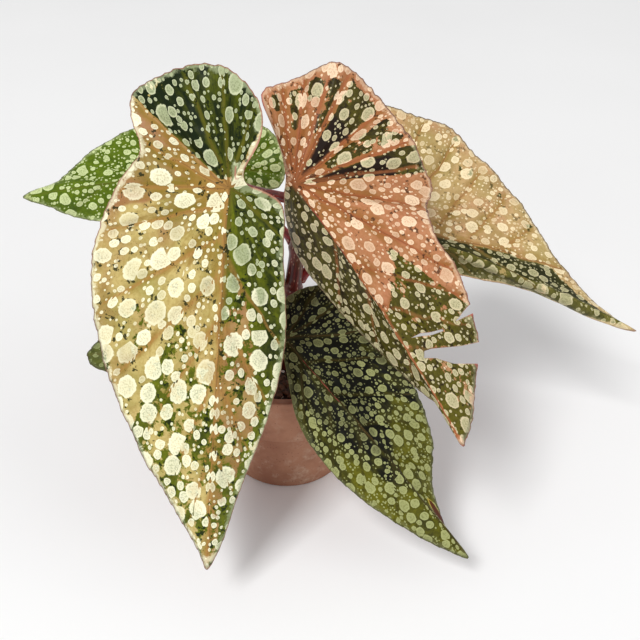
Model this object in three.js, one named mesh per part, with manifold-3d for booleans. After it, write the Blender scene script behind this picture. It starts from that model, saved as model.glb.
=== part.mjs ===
// A cane begonia in a small clay pot. Millimetres, +Z up.
// The origin is the centre of the pot's flat bottom, and most leaves face -Y.

import * as THREE from "three";
import { mergeVertices } from "three/addons/utils/BufferGeometryUtils.js";
import Module from "manifold-3d";

const wasm = await Module();
wasm.setup();

// Room left between pieces that touch.
const GAP = 0.3;

// The pot.
const POT_HEIGHT = 60;
const POT_FOOT_RADIUS = 28;
const POT_RIM_RADIUS = 39;
const POT_WALL = 4;
const POT_FLOOR = 5;
const RIM_BAND_DEPTH = 27;
const RIM_BAND_STEP = 2;
const POT_EDGE = 1;
const POT_SIDES = 40;
const DRAIN_HOLES = 3;
const DRAIN_RADIUS = 4;
const DRAIN_CIRCLE_RADIUS = 15;
const HOLE_SIDES = 16;

// The potting mix.
const SOIL_EDGE_HEIGHT = 50;
const SOIL_CROWN_HEIGHT = 52;

// The cane, from its foot in the mix to its growing tip.
const CANE_ROUTE = [[0, 0, 28], [0, 0, 52], [1, 0, 72], [4, 1, 98], [7, 2, 122], [10, 4, 148]];
const CANE_FOOT_RADIUS = 5;
const CANE_TOP_RADIUS = 2.8;
const CANE_JOINTS = [60, 70, 96, 116, 128, 138];
const CANE_JOINT_SWELL = 0.9;
const CANE_JOINT_LENGTH = 2.5;
const CANE_SIDES = 12;
const CANE_STEPS = 48;

// The leaves.
const BLADE_THICKNESS = 1;
const BLADE_RINGS = 5;
const SPOKES_PER_POINT = 2;
const STALK_SIDES = 8;
const STALK_STEPS = 16;
const TEAR_DEPTH = 60;

// Each leaf hangs from its base, where the stalk meets the blade, and points at its tip. Its margin
// runs round the blade in points of [towards the tip, across, off the plane], measured from the base.
const LEAVES = {
  front_left: {
    base: [-18, -45, 170],
    tip: [-30, -105, 28],
    facing: [0, -0.92, 0.39],
    arch: 9,
    margin: [
      [-7, 5, 4], [-20, 11, 9], [-32, 10, 10], [-42, 0, 5], [-45, -9, 2], [-41, -25, -3],
      [-31, -40, -10], [-20, -38, -5], [-12, -34, 0], [0, -41, 0], [16, -48, -2], [35, -52, -5],
      [60, -49, -5], [86, -40, -4], [110, -28, -3], [133, -13, -2], [149, -3, 0], [155, 0, 0],
      [145, 5, -1], [122, 11, -3], [92, 20, -5], [62, 25, -6], [24, 22, -5], [5, 20, -4],
      [0, 12, -2], [-2, 4, 0],
    ],
    stalk: { joint: 138, end: [-1, 1, -2], radii: [2.4, 1.8], via: [[2, -14, 149], [-10, -32, 162]] },
  },
  front_right: {
    base: [6, -35, 166],
    tip: [71, -92, 83],
    facing: [0.2, -0.7, 0.65],
    arch: 6,
    margin: [
      [-5, 0, -2], [0, -3, -8], [8, -5, -19], [22, -7, -27], [45, -5, -29], [70, -1, -26],
      [93, 2, -17], [106, 4, -9], [120, 0, 0], [113, 12, -4], [101, 23, -6], [91, 31, -5],
      [80, 34, -3], [63, 37, 1], [44, 37, 3], [35, 42, -3], [29, 51, -8], [20, 51, -4],
      [10, 51, 2], [1, 50, 2], [-12, 51, -3], [-26, 45, 3], [-32, 40, 5], [-36, 28, -4],
      [-37, 18, -2], [-36, 8, 2], [-18, 5, -2],
    ],
    tears: [
      [
        [81, 7], [82, 11], [88, 23], [91, 31], [94, 42], [106, 36], [98, 26], [92, 16], [86, 10],
        [83, 5],
      ],
      [[75, 42], [76.5, 33], [78.6, 26], [79.6, 33], [81, 42]],
    ],
    stalk: { joint: 128, end: [-2, 3, -3], radii: [2.4, 1.8], via: [[8, -12, 143], [7, -24, 154]] },
  },
  right: {
    base: [40, 5, 127],
    tip: [161, -5, 75],
    facing: [0.1, -0.6, 0.8],
    arch: 6,
    margin: [
      [-5, 5, 0], [5, -4, -3], [22, -7, -6], [46, -5, -7], [72, 0, -6], [96, 0, -4], [116, -2, -2],
      [132, 0, 0], [118, 3, -1], [100, 12, -3], [82, 25, -5], [60, 43, -6], [38, 54, -6],
      [20, 62, -6], [2, 60, -5], [-14, 58, -5], [-23, 47, -3], [-23, 32, -3], [-16, 18, -1],
    ],
    stalk: { joint: 96, end: [-2, 2, -2], radii: [2.2, 1.7], via: [[15, 7, 106], [29, 10, 118]] },
  },
  lower_right: {
    base: [1, -40, 96],
    tip: [79, -90, 18],
    facing: [0.3, -0.75, 0.6],
    arch: 7,
    margin: [
      [-4, 0, -1], [2, -3, -1], [12, -8, -3], [30, -17, -6], [50, -20, -6], [72, -18, -5],
      [94, -12, -4], [110, -6, -2], [121, 0, 0], [106, 1.5, -2], [90, 9, -4], [73, 24, -5],
      [55, 31, -5], [36, 37, -4], [18, 39, -3], [5, 38, -2], [-4, 33, -3], [-11, 23, -4],
      [-13, 14, -4], [-13, 5, -3],
    ],
    stalk: { joint: 70, end: [-1, 1, -2], radii: [2.2, 1.7], via: [[1, -16, 80], [1, -30, 90]] },
  },
  back_left: {
    base: [-20, 25, 143],
    tip: [-122, 35, 123],
    facing: [-0.1, -0.75, 0.65],
    arch: 5,
    margin: [
      [-9, 11, -2], [-17, 10, -4], [-21, 1, -3], [-19, -10, -2], [-9, -20, 0], [9, -26, -1],
      [32, -29, -3], [54, -25, -4], [73, -17, -5], [88, -6, -3], [104, 0, 0], [92, 6, -2],
      [80, 12, -4], [58, 17, -5], [38, 18, -4], [18, 13, -3], [5, 6, -1],
    ],
    stalk: { joint: 116, end: [-1, 2, -3], radii: [2, 1.6], via: [[-3, 14, 121], [-14, 25, 131]] },
  },
  low_left: {
    base: [-36, -22, 77],
    tip: [-88, -22, 74],
    facing: [-0.15, -0.7, 0.7],
    arch: 3,
    margin: [
      [-4, 5, -1], [-11, 3, -2], [-12, -6, -1], [-8, -14, 0], [1, -18, 0], [14, -20, -1],
      [28, -18, -2], [40, -12, -2], [49, -5, -1], [52, 0, 0], [49, 5, -1], [38, 9, -2],
      [26, 11, -2], [14, 10, -1], [4, 5, 0],
    ],
    stalk: { joint: 60, end: [-2, 2, -2], radii: [1.6, 1.2], via: [[-12, -6, 68], [-25, -14, 74]] },
  },
};

// Papery scales that stand beside the cane above a joint: [joint height, direction round the cane].
const STIPULES = [[96, 200], [116, 20], [128, 150], [138, 330]];
const STIPULE_LENGTH = 11;
const STIPULE_LEAN = 0.35;
const STIPULE_ARCH = 0.5;
const STIPULE_THICKNESS = 0.7;
const STIPULE_STANDOFF = 1.5;
const STIPULE_MARGIN = [
  [-1, 0, 0], [1, -3, 1], [5, -3.5, 1.2], [9, -1.5, 0.6], [11, 0, 0], [9, 1.5, 0.6], [5, 3.5, 1.2],
  [1, 3, 1],
];

// The rolled young leaf at the top of the cane.
const BUD_LENGTH = 15;
const BUD_RADIUS = 3;

const MATERIALS = {
  terracotta: { color: 0x9a6b52, roughness: 0.85, metalness: 0 },
  potting_mix: { color: 0x2e211a, roughness: 0.95, metalness: 0 },
  cane: { color: 0x6b2a20, roughness: 0.5, metalness: 0 },
  stalk: { color: 0x8a2f28, roughness: 0.45, metalness: 0 },
  stipule: { color: 0xb08a6a, roughness: 0.7, metalness: 0 },
  young_leaf: { color: 0x9a4a3a, roughness: 0.45, metalness: 0 },
  pale_leaf: { color: 0xc9c48c, roughness: 0.4, metalness: 0 },
  pink_leaf: { color: 0xc48a6c, roughness: 0.4, metalness: 0 },
  cream_leaf: { color: 0xcfb98a, roughness: 0.4, metalness: 0 },
  dark_leaf: { color: 0x2f3d16, roughness: 0.4, metalness: 0 },
  green_leaf: { color: 0x6f9420, roughness: 0.4, metalness: 0 },
  olive_leaf: { color: 0x5f6a28, roughness: 0.4, metalness: 0 },
};

const LEAF_MATERIALS = {
  front_left: "pale_leaf",
  front_right: "pink_leaf",
  right: "cream_leaf",
  lower_right: "dark_leaf",
  back_left: "green_leaf",
  low_left: "olive_leaf",
};

const vector = (numbers) => new THREE.Vector3(...numbers);
const smoothRoute = (points) => new THREE.CatmullRomCurve3(points.map(vector));
const caneRoute = smoothRoute(CANE_ROUTE);

const begonia = new THREE.Group();

function addPiece(name, materialName, geometry) {
  const mesh = new THREE.Mesh(geometry, new THREE.MeshStandardMaterial(MATERIALS[materialName]));
  mesh.name = name;
  begonia.add(mesh);
  return mesh;
}

// Booleans.

function solidOf(geometry) {
  const bare = geometry.clone();
  bare.deleteAttribute("normal");
  bare.deleteAttribute("uv");
  const merged = mergeVertices(bare, 1e-4);
  return new wasm.Manifold(new wasm.Mesh({
    numProp: 3,
    vertProperties: merged.attributes.position.array,
    triVerts: new Uint32Array(merged.index.array),
  }));
}

function geometryOf(solid) {
  const { vertProperties, triVerts } = solid.getMesh();
  const geometry = new THREE.BufferGeometry();
  geometry.setAttribute("position", new THREE.BufferAttribute(vertProperties, 3));
  geometry.setIndex(new THREE.BufferAttribute(triVerts, 1));
  return geometry;
}

function without(geometry, cutters) {
  const cut = cutters.reduce((left, cutter) => left.subtract(solidOf(cutter)), solidOf(geometry));
  return geometryOf(cut);
}

// A solid turned about the Z axis from [radius, height] points.
function turned(profile, sides) {
  const points = profile.map(([radius, height]) => new THREE.Vector2(radius, height));
  return new THREE.LatheGeometry(points, sides).rotateX(Math.PI / 2);
}

// A round stem: a cylinder whose rings are moved onto a route, each with its own radius.
function stem(route, radiusAt, sides, steps) {
  const geometry = new THREE.CylinderGeometry(1, 1, 1, sides, steps);
  const frames = route.computeFrenetFrames(steps, false);
  const position = geometry.attributes.position;
  const point = new THREE.Vector3();
  for (let i = 0; i < position.count; i += 1) {
    const step = Math.round((position.getY(i) + 0.5) * steps);
    const along = step / steps;
    const centre = route.getPointAt(along);
    const radius = radiusAt(along, centre);
    point.copy(centre);
    point.addScaledVector(frames.normals[step], position.getX(i) * radius);
    point.addScaledVector(frames.binormals[step], -position.getZ(i) * radius);
    position.setXYZ(i, point.x, point.y, point.z);
  }
  return geometry;
}

// The pot and its mix.

const rimBottom = POT_HEIGHT - RIM_BAND_DEPTH;
const potFlare = (POT_RIM_RADIUS - POT_FOOT_RADIUS) / POT_HEIGHT;
const outsideRadius = (height) => POT_FOOT_RADIUS + potFlare * height;
const insideRadius = (height) => outsideRadius(height) - POT_WALL;

function potGeometry() {
  const bodyRadius = (height) => outsideRadius(height) - RIM_BAND_STEP * (height / rimBottom);
  const profile = [
    [0, 0],
    [POT_FOOT_RADIUS - POT_EDGE, 0],
    [POT_FOOT_RADIUS, POT_EDGE],
    [bodyRadius(rimBottom), rimBottom],
    [outsideRadius(rimBottom) - POT_EDGE / 2, rimBottom],
    [outsideRadius(rimBottom), rimBottom + POT_EDGE],
    [outsideRadius(POT_HEIGHT - POT_EDGE), POT_HEIGHT - POT_EDGE],
    [outsideRadius(POT_HEIGHT) - POT_EDGE, POT_HEIGHT],
    [insideRadius(POT_HEIGHT) + POT_EDGE, POT_HEIGHT],
    [insideRadius(POT_HEIGHT - POT_EDGE), POT_HEIGHT - POT_EDGE],
    [insideRadius(POT_FLOOR), POT_FLOOR],
    [0, POT_FLOOR],
  ];
  const drains = [];
  for (let i = 0; i < DRAIN_HOLES; i += 1) {
    const angle = Math.PI / 2 + (i * 2 * Math.PI) / DRAIN_HOLES;
    const drain = new THREE.CylinderGeometry(DRAIN_RADIUS, DRAIN_RADIUS, POT_FLOOR * 3, HOLE_SIDES);
    drain.rotateX(Math.PI / 2);
    drain.translate(DRAIN_CIRCLE_RADIUS * Math.cos(angle), DRAIN_CIRCLE_RADIUS * Math.sin(angle), 0);
    drains.push(drain);
  }
  return without(turned(profile, POT_SIDES), drains);
}

function soilGeometry() {
  const floor = POT_FLOOR + GAP;
  const footRadius = insideRadius(floor) - GAP;
  const edgeRadius = insideRadius(SOIL_EDGE_HEIGHT) - GAP;
  const crownRise = SOIL_CROWN_HEIGHT - SOIL_EDGE_HEIGHT;
  const mix = turned([
    [0, floor],
    [footRadius, floor],
    [edgeRadius, SOIL_EDGE_HEIGHT],
    [edgeRadius * 0.7, SOIL_EDGE_HEIGHT + crownRise * 0.6],
    [edgeRadius * 0.35, SOIL_CROWN_HEIGHT],
    [0, SOIL_CROWN_HEIGHT],
  ], POT_SIDES);
  // The hole that the cane's foot stands in.
  const [footX, footY, footHeight] = CANE_ROUTE[0];
  const wellDepth = SOIL_CROWN_HEIGHT - footHeight + GAP;
  const wellRadius = CANE_FOOT_RADIUS + 2 * GAP;
  const well = new THREE.CylinderGeometry(wellRadius, wellRadius, wellDepth * 2, HOLE_SIDES);
  well.rotateX(Math.PI / 2);
  well.translate(footX, footY, footHeight - GAP + wellDepth);
  return without(mix, [well]);
}

// The cane.

const caneTop = CANE_ROUTE.at(-1)[2];
const caneFoot = CANE_ROUTE[0][2];

function caneRadius(height) {
  const share = (height - caneFoot) / (caneTop - caneFoot);
  const plain = THREE.MathUtils.lerp(CANE_FOOT_RADIUS, CANE_TOP_RADIUS, share);
  const swells = CANE_JOINTS.map((joint) => Math.exp(-(((height - joint) / CANE_JOINT_LENGTH) ** 2)));
  return plain + CANE_JOINT_SWELL * Math.max(...swells);
}

// The middle of the cane at a height, found by halving.
function caneCentre(height) {
  let low = 0;
  let high = 1;
  for (let i = 0; i < 30; i += 1) {
    const middle = (low + high) / 2;
    if (caneRoute.getPointAt(middle).z < height) low = middle;
    else high = middle;
  }
  return caneRoute.getPointAt(low);
}

const caneGeometry = () => stem(caneRoute, (along, centre) => caneRadius(centre.z), CANE_SIDES, CANE_STEPS);

// A leaf's blade: a sphere whose upper half becomes the upper face and whose lower half becomes the
// under face, each spread from the base out to the margin.
function bladeGeometry(marginPoints, arch, thickness) {
  const points = marginPoints.map(vector);
  const margin = new THREE.CatmullRomCurve3(points, true, "centripetal");
  const length = Math.max(...points.map((point) => point.length()));

  function surface(around, out) {
    const point = margin.getPoint(around);
    const reach = point.length() / length;
    point.multiplyScalar(out);
    point.z += arch * reach ** 2 * 4 * out * (1 - out);
    return point;
  }

  function faceNormal(around, out) {
    const step = 1e-3;
    const here = surface(around, out);
    const sideways = surface((around + step) % 1, out).sub(here);
    const outwards = surface(around, out + step).sub(here);
    const normal = outwards.cross(sideways).normalize();
    const nearBase = Math.max(0, 1 - out * 4);
    return normal.lerp(new THREE.Vector3(0, 0, 1), nearBase).normalize();
  }

  const geometry = new THREE.SphereGeometry(1, points.length * SPOKES_PER_POINT, BLADE_RINGS * 2);
  const { position, uv } = geometry.attributes;
  for (let i = 0; i < position.count; i += 1) {
    const side = uv.getY(i) * 2 - 1;
    const out = Math.max(0, 1 - Math.abs(side));
    const around = out === 0 ? 0 : uv.getX(i) % 1;
    const halfThickness = (thickness / 2) * Math.sqrt(1 - out ** 4);
    const normal = out === 0 ? new THREE.Vector3(0, 0, 1) : faceNormal(around, out);
    const point = surface(around, out).addScaledVector(normal, Math.sign(side) * halfThickness);
    position.setXYZ(i, point.x, point.y, point.z);
  }
  return geometry;
}

// A tear right through a blade, as a prism over its outline.
function tearGeometry(outline) {
  const shape = new THREE.Shape(outline.map(([x, y]) => new THREE.Vector2(x, y)));
  const prism = new THREE.ExtrudeGeometry(shape, { depth: TEAR_DEPTH, bevelEnabled: false });
  return prism.translate(0, 0, -TEAR_DEPTH / 2);
}

// The turn and place that carry a leaf's own axes to where it hangs.
function leafPlace({ base, tip, facing }) {
  const along = vector(tip).sub(vector(base)).normalize();
  const across = vector(facing).cross(along).normalize();
  const off = along.clone().cross(across);
  return new THREE.Matrix4().makeBasis(along, across, off).setPosition(vector(base));
}

function addLeaf(name, leaf) {
  let blade = bladeGeometry(leaf.margin, leaf.arch, BLADE_THICKNESS);
  if (leaf.tears) blade = without(blade, leaf.tears.map(tearGeometry));
  const mesh = addPiece(`leaf_${name}`, LEAF_MATERIALS[name], blade);
  mesh.applyMatrix4(leafPlace(leaf));
}

// A leaf's stalk, from the side of the cane to just under the blade.
function addStalk(name, leaf) {
  const { joint, via, end, radii } = leaf.stalk;
  const centre = caneCentre(joint);
  const outward = vector(via[0]).sub(centre).normalize();
  // Far enough out that the lower edge of the stalk's slanted end clears the cane.
  const level = Math.hypot(outward.x, outward.y);
  const reach = (caneRadius(joint) + 2 * GAP + radii[0] * Math.abs(outward.z)) / level;
  const start = centre.clone().addScaledVector(outward, reach);
  const finish = vector(end).applyMatrix4(leafPlace(leaf));
  const route = new THREE.CatmullRomCurve3([start, ...via.map(vector), finish]);
  const radiusAt = (along) => THREE.MathUtils.lerp(radii[0], radii[1], along);
  addPiece(`stalk_${name}`, "stalk", stem(route, radiusAt, STALK_SIDES, STALK_STEPS));
}

function addStipule(number, joint, bearing) {
  const centre = caneCentre(joint + CANE_JOINT_LENGTH);
  const angle = THREE.MathUtils.degToRad(bearing);
  const outward = new THREE.Vector3(Math.cos(angle), Math.sin(angle), 0);
  const base = centre.addScaledVector(outward, caneRadius(joint) + STIPULE_STANDOFF);
  const tip = base.clone().addScaledVector(outward, STIPULE_LENGTH * STIPULE_LEAN);
  tip.z += STIPULE_LENGTH;
  const geometry = bladeGeometry(STIPULE_MARGIN, STIPULE_ARCH, STIPULE_THICKNESS);
  const mesh = addPiece(`stipule_${number}`, "stipule", geometry);
  mesh.applyMatrix4(leafPlace({
    base: base.toArray(),
    tip: tip.toArray(),
    facing: outward.clone().negate().toArray(),
  }));
}

function budGeometry() {
  const bud = turned([
    [0, 0],
    [BUD_RADIUS * 0.7, 0],
    [BUD_RADIUS, BUD_LENGTH * 0.25],
    [BUD_RADIUS * 0.85, BUD_LENGTH * 0.55],
    [BUD_RADIUS * 0.4, BUD_LENGTH * 0.85],
    [0, BUD_LENGTH],
  ], 10);
  return bud.translate(0, 0, GAP);
}

addPiece("pot", "terracotta", potGeometry());
addPiece("potting_mix", "potting_mix", soilGeometry());
addPiece("cane", "cane", caneGeometry());
for (const [name, leaf] of Object.entries(LEAVES)) {
  addLeaf(name, leaf);
  addStalk(name, leaf);
}
STIPULES.forEach(([joint, bearing], i) => addStipule(i + 1, joint, bearing));
const bud = addPiece("young_leaf", "young_leaf", budGeometry());
bud.position.copy(caneRoute.getPointAt(1));
bud.quaternion.setFromUnitVectors(new THREE.Vector3(0, 0, 1), caneRoute.getTangentAt(1));

export default begonia;
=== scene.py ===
"""A spotted cane begonia in a small clay pot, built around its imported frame. Metres, +Z up."""

import math

import bpy
import numpy as np
from mathutils import Matrix, Vector, noise


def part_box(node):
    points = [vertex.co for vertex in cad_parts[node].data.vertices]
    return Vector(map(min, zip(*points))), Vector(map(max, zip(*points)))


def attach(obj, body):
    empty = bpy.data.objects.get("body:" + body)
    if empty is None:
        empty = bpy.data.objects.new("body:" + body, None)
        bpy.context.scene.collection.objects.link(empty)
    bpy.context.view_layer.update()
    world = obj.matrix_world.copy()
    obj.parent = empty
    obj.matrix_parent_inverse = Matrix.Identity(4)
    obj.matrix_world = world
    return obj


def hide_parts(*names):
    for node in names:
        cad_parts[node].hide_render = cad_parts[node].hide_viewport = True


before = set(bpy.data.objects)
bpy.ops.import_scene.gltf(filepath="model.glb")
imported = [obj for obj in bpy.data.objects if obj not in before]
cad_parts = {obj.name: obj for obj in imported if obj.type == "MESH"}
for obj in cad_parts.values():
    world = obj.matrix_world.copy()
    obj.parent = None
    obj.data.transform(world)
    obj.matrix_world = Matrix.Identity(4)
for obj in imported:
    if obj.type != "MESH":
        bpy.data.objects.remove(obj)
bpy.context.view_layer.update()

MM = 0.001
TAU = 2 * math.pi

# ---------------------------------------------------------------- the plant's measures, in millimetres

BLADE_THICKNESS = 0.8
BLADE_RIB = 0.7
RIB_WIDTH = 0.9
BLADE_SPOKES = 360
BLADE_RINGS = 40
# How many spokes on either side of a place tell whether it lies in a fold.
FOLD_REACH = 16
TEAR_DEPTH = 68
# Further than any place on a blade is from a vein.
FAR = 99.0

# Each leaf runs from its base to its tip, with its upper face towards facing; arch is how far it swells.
# Its margin is a list of (towards the tip, across, up) from the base. A margin number counts these points
# from 0, and one with a fraction lies between two of them. The midrib and the palmate veins run from the
# base to a margin number. A pinnate vein is (share of the midrib where it leaves, margin number it goes to).
# A wash is (from number, to number, from share, to share, amount), with shares of the way out from the
# base, and adds to one of the blade's fields there: green above 0 is green tissue, deep is how dark the
# green is, blush how pink the pale tissue is, bright how large and pale the spots on green are, and scorch
# how burnt the blade is.
# On the lower right leaf, deep and bright also carry painted shade and painted light: darker towards its
# base, paler and with paler spots towards its tip.
LEAVES = {
    "front_left": {
        "base": (-18, -45, 170), "tip": (-30, -105, 28), "facing": (0, -0.92, 0.39), "arch": 9,
        "margin": [
            (-7, 5, 4), (-20, 11, 9), (-32, 10, 10), (-42, 0, 5), (-45, -9, 2), (-41, -25, -3),
            (-31, -40, -10), (-20, -38, -5), (-12, -34, 0), (0, -41, 0), (16, -48, -2), (35, -52, -5),
            (60, -49, -5), (86, -40, -4), (110, -28, -3), (133, -13, -2), (149, -3, 0), (155, 0, 0),
            (145, 5, -1), (122, 11, -3), (92, 20, -5), (62, 25, -6), (24, 22, -5), (5, 20, -4),
            (0, 12, -2), (-2, 4, 0),
        ],
        "midrib": 17,
        "palmate": [2.2, 3.6, 4.7, 6, 7.6, 9.2, 22.3],
        "pinnate": [
            (0.04, 10.3), (0.11, 11.7), (0.2, 12.8), (0.31, 13.8), (0.44, 14.7), (0.6, 15.5),
            (0.16, 20.9), (0.31, 20.1), (0.47, 19.4), (0.64, 18.7),
        ],
        "green": -0.6,
        "green_washes": [
            (1.3, 5.95, 0.1, 1.1, 1.6), (17.1, 24.6, 0, 1.1, 1.0), (19.9, 24.6, 0, 1.1, 0.5),
            (13.6, 16.95, 0.48, 1.1, 0.62), (12.2, 13.8, 0.62, 1.1, 0.4), (5.2, 5.8, 0.86, 1.1, -0.9),
            (17.2, 20.6, 0.35, 0.9, -0.45),
            (16.2, 17.8, 0.9, 1.1, -0.5), (3.4, 3.9, 0.3, 1.1, -0.35), (2.2, 2.8, 0, 0.5, -0.5),
        ],
        "deep": 0.3,
        "deep_washes": [
            (1, 6, 0, 1.1, 0.4), (4.8, 6, 0, 1.1, 0.25), (20.2, 24.6, 0, 1.1, 0.25),
            (14, 19.6, 0.75, 1.1, -0.15),
        ],
        "blush": 0.15,
        "blush_washes": [
            (6, 9.7, 0.1, 1.1, 0.75), (9.7, 12, 0, 0.5, 0.35), (9.7, 13, 0.85, 1.1, 0.3),
            (17.1, 21.2, 0.1, 0.95, 0.6),
        ],
        "bright": [(12.5, 20.6, 0.4, 1.1, 1.0), (20.6, 24.6, 0.62, 1.1, 0.5), (9.5, 13, 0.15, 0.9, 0.5)],
    },
    "front_right": {
        "base": (6, -35, 166), "tip": (71, -92, 83), "facing": (0.2, -0.7, 0.65), "arch": 6,
        "margin": [
            (-5, 0, -2), (0, -3, -8), (8, -5, -19), (22, -7, -27), (45, -5, -29), (70, -1, -26),
            (93, 2, -17), (106, 4, -9), (120, 0, 0), (113, 12, -4), (101, 23, -6), (91, 31, -5),
            (80, 34, -3), (63, 37, 1), (44, 37, 3), (35, 42, -3), (29, 51, -8), (20, 51, -4),
            (10, 51, 2), (1, 50, 2), (-12, 51, -3), (-26, 45, 3), (-32, 40, 5), (-36, 28, -4),
            (-37, 18, -2), (-36, 8, 2), (-18, 5, -2),
        ],
        "midrib": 8,
        "palmate": [12.9, 15.1, 17.0, 18.1, 19.7, 21.1, 22.1, 22.9, 23.9, 25],
        "pinnate": [
            (0.3, 12.3), (0.46, 11.2), (0.63, 10.3), (0.2, 4.3), (0.36, 5.2), (0.55, 6.1),
        ],
        "green": -0.6,
        "green_washes": [
            (22.95, 23.6, 0.5, 0.9, 0.9), (22.1, 22.75, 0.7, 0.9, 0.8), (21.2, 22, 0.42, 0.88, 0.8),
            (19.8, 20.9, 0.08, 0.92, 1.1), (18.3, 19.4, 0.3, 0.95, 0.8), (16.7, 17.9, 0.04, 1.0, 1.1),
            (24.1, 24.6, 0.74, 0.92, 0.9), (8.1, 12.2, 0.5, 1.1, 0.9), (0.8, 7.8, 0, 1.1, 1.5),
        ],
        "deep": 0.5,
        "deep_washes": [
            (16.6, 17.7, 0, 0.75, 0.9), (19.8, 20.8, 0, 0.6, 0.8), (8.1, 12.2, 0.5, 1.1, -0.2),
            (6.5, 9.5, 0.85, 1.1, -0.4),
        ],
        "blush": 0.85,
        "blush_washes": [(8.2, 11, 0.6, 1.1, -0.3)],
        # Tears through the blade, as outlines of (towards the tip, across).
        "tears": [
            [
                (81, 7), (82, 11), (88, 23), (91, 31), (94, 42), (106, 36), (98, 26), (92, 16), (86, 10),
                (83, 5),
            ],
            [(75, 42), (76.5, 33), (78.6, 26), (79.6, 33), (81, 42)],
            [(78.2, 19.5), (76.4, 14), (74.4, 9.6), (73.8, 5), (75.5, 9.2), (77.6, 13.8), (79, 19.5)],
        ],
    },
    "right": {
        "base": (40, 5, 127), "tip": (161, -5, 75), "facing": (0.1, -0.6, 0.8), "arch": 6,
        "margin": [
            (-5, 5, 0), (5, -4, -3), (22, -7, -6), (46, -5, -7), (72, 0, -6), (96, 0, -4),
            (116, -2, -2), (132, 0, 0), (118, 3, -1), (100, 12, -3), (82, 25, -5), (60, 43, -6),
            (38, 54, -6), (20, 62, -6), (2, 60, -5), (-14, 58, -5), (-23, 47, -3), (-23, 32, -3),
            (-16, 18, -1),
        ],
        "midrib": 9.4,
        "palmate": [13.6, 15, 16.4, 17.4],
        "pinnate": [(0.12, 12.6), (0.28, 11.7), (0.45, 11), (0.62, 10.3), (0.2, 3.4), (0.45, 5)],
        "green": -0.55,
        "green_washes": [
            (7.4, 9.3, 0.2, 0.88, 1.4), (10.3, 13, 0.75, 1.1, 0.25), (2.4, 7.4, 0.2, 0.95, 0.9),
            (13, 17, 0.45, 0.8, 0.15),
        ],
        "deep": 0.4,
        "deep_washes": [(7.5, 9.2, 0.2, 0.9, 0.4)],
        "blush": 0.35,
        "blush_washes": [(9, 11, 0.1, 0.8, 0.3), (10.5, 15, 0.85, 1.1, 0.25)],
    },
    "lower_right": {
        "base": (1, -40, 96), "tip": (79, -90, 18), "facing": (0.3, -0.75, 0.6), "arch": 7,
        "margin": [
            (-4, 0, -1), (2, -3, -1), (12, -8, -3), (30, -17, -6), (50, -20, -6), (72, -18, -5),
            (94, -12, -4), (110, -6, -2), (121, 0, 0), (106, 1.5, -2), (90, 9, -4), (73, 24, -5),
            (55, 31, -5), (36, 37, -4), (18, 39, -3), (5, 38, -2), (-4, 33, -3), (-11, 23, -4),
            (-13, 14, -4), (-13, 5, -3),
        ],
        "midrib": 8,
        "palmate": [13.6, 15, 16.5, 18],
        "pinnate": [
            (0.1, 12.8), (0.24, 11.9), (0.38, 11.2), (0.53, 10.5), (0.7, 9.7),
            (0.08, 3.4), (0.22, 4.4), (0.38, 5.2), (0.55, 6),
        ],
        "green": 1,
        "green_washes": [],
        # Painted shade: the high deep level and the darker inner wash darken this leaf towards its base,
        # where the leaves above shade it. The negative washes lighten it towards its tip, as painted light.
        "deep": 0.85,
        "deep_washes": [(8, 20, 0, 0.6, 0.3), (5, 11.5, 0.7, 1.1, -0.55), (3, 6, 0.6, 1.1, -0.2)],
        "blush": 0.2,
        "blush_washes": [],
        # Painted light: larger, paler spots towards the tip, where light falls on this leaf.
        "bright": [(3.5, 12.4, 0.55, 1.1, 0.8)],
        "scorch": [(8.8, 9.35, 0.9, 1.1, 1.0)],
    },
    "back_left": {
        "base": (-20, 25, 143), "tip": (-122, 35, 123), "facing": (-0.1, -0.75, 0.65), "arch": 5,
        "margin": [
            (-9, 11, -2), (-17, 10, -4), (-21, 1, -3), (-19, -10, -2), (-9, -20, 0), (9, -26, -1),
            (32, -29, -3), (54, -25, -4), (73, -17, -5), (88, -6, -3), (104, 0, 0), (92, 6, -2),
            (80, 12, -4), (58, 17, -5), (38, 18, -4), (18, 13, -3), (5, 6, -1),
        ],
        "midrib": 10,
        "palmate": [1.5, 3, 4.4, 5.5, 14.6],
        "pinnate": [
            (0.1, 6.4), (0.26, 7.3), (0.43, 8), (0.6, 8.7), (0.2, 13.4), (0.4, 12.6), (0.6, 11.8),
        ],
        "green": 1,
        "green_washes": [(9.4, 10.6, 0.88, 1.1, -0.9)],
        "deep": 0.35,
        "deep_washes": [(0, 4.6, 0, 1.1, 0.1)],
        "blush": 0.1,
        "blush_washes": [],
    },
    "low_left": {
        "base": (-36, -22, 77), "tip": (-88, -22, 74), "facing": (-0.15, -0.7, 0.7), "arch": 3,
        "margin": [
            (-4, 5, -1), (-11, 3, -2), (-12, -6, -1), (-8, -14, 0), (1, -18, 0), (14, -20, -1),
            (28, -18, -2), (40, -12, -2), (49, -5, -1), (52, 0, 0), (49, 5, -1), (38, 9, -2),
            (26, 11, -2), (14, 10, -1), (4, 5, 0),
        ],
        "midrib": 9,
        "palmate": [2, 3.6, 5, 13],
        "pinnate": [(0.15, 6), (0.4, 7.1), (0.2, 12), (0.45, 11)],
        "green": 1,
        "green_washes": [],
        "deep": 0.5,
        "deep_washes": [],
        "blush": 0.2,
        "blush_washes": [],
    },
}

# The cane's route, its radii at the foot and the top, and the heights of its joints.
CANE_ROUTE = [(0, 0, 28), (0, 0, 52), (1, 0, 72), (4, 1, 98), (7, 2, 122), (10, 4, 148)]
CANE_RADII = (5, 2.8)
CANE_JOINTS = [60, 70, 96, 116, 128, 138]
CANE_JOINT_SWELL = 0.9
CANE_JOINT_LENGTH = 2.5

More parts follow.
